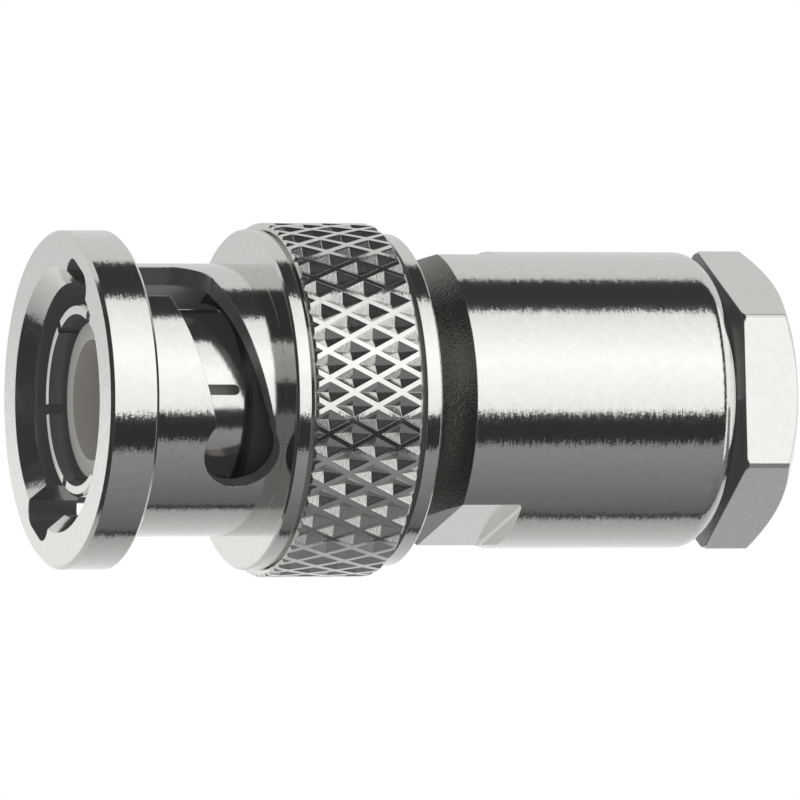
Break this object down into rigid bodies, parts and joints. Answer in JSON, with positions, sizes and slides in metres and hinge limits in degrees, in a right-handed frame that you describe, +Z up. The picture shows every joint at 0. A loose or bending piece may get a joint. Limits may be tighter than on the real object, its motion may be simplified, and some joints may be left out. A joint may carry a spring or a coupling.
{
  "type": "bnc connector",
  "caption": "Straight male bayonet plug for coaxial cable, clamp type: knurled turning coupling with cam slots, slotted outer contact, centre pin, body with wrench flats, hexagonal clamp nut.",
  "frame": {"origin": "centre of the coupling's front face, on the connector's axis", "axes": "+X along the connector's axis from the mating end to the cable end, +Z up as the picture shows it"},
  "size_m": [0.0311, 0.0148, 0.0148],
  "materials": {
    "nickel_plated_brass": "turned brass with bright nickel plate",
    "spring_steel": "spring steel strip",
    "white_fluoropolymer": "turned white fluoropolymer",
    "gold_plated_brass": "gold plated brass",
    "silicone_rubber": "moulded silicone rubber, dark grey",
    "black_rubber": "moulded black rubber"
  },
  "bodies": {
    "connector_body": {"outer_contact": "nickel_plated_brass", "mating_gasket": "silicone_rubber", "contact_insulator": "white_fluoropolymer", "centre_pin": "gold_plated_brass", "wave_washer": "spring_steel", "rear_insulator": "white_fluoropolymer", "body_shell": "nickel_plated_brass", "braid_clamp": "nickel_plated_brass", "cable_gasket": "black_rubber"},
    "spring_pack": {"thrust_washer": "nickel_plated_brass"},
    "coupling": {"coupling_sleeve": "nickel_plated_brass", "retaining_ring": "spring_steel"},
    "nut_carriage": {"slip_washer": "nickel_plated_brass"},
    "nut": {"clamp_nut": "nickel_plated_brass"}
  },
  "joints": [
    {"name": "coupling_slide", "type": "slide", "parent": "connector_body", "child": "spring_pack", "axis": [-1, 0, 0], "range_m": [0, 0.0006], "stiffness_N_per_m": 400, "deforming": ["wave_washer"]},
    {"name": "coupling_turn", "type": "hinge", "parent": "spring_pack", "child": "coupling", "pos_m": [0.012, 0, 0], "axis": [1, 0, 0], "continuous": true},
    {"name": "clamp_nut_slide", "type": "slide", "parent": "connector_body", "child": "nut_carriage", "axis": [1, 0, 0], "range_m": [0, 0.00525]},
    {"name": "clamp_nut_turn", "type": "hinge", "parent": "nut_carriage", "child": "nut", "pos_m": [0.0296, 0, 0], "axis": [1, 0, 0], "range_deg": [0, 2520]}
  ],
  "couplings": [
    {"joint": "clamp_nut_slide", "follows": "clamp_nut_turn", "m_per_rad": 0.00011937}
  ]
}
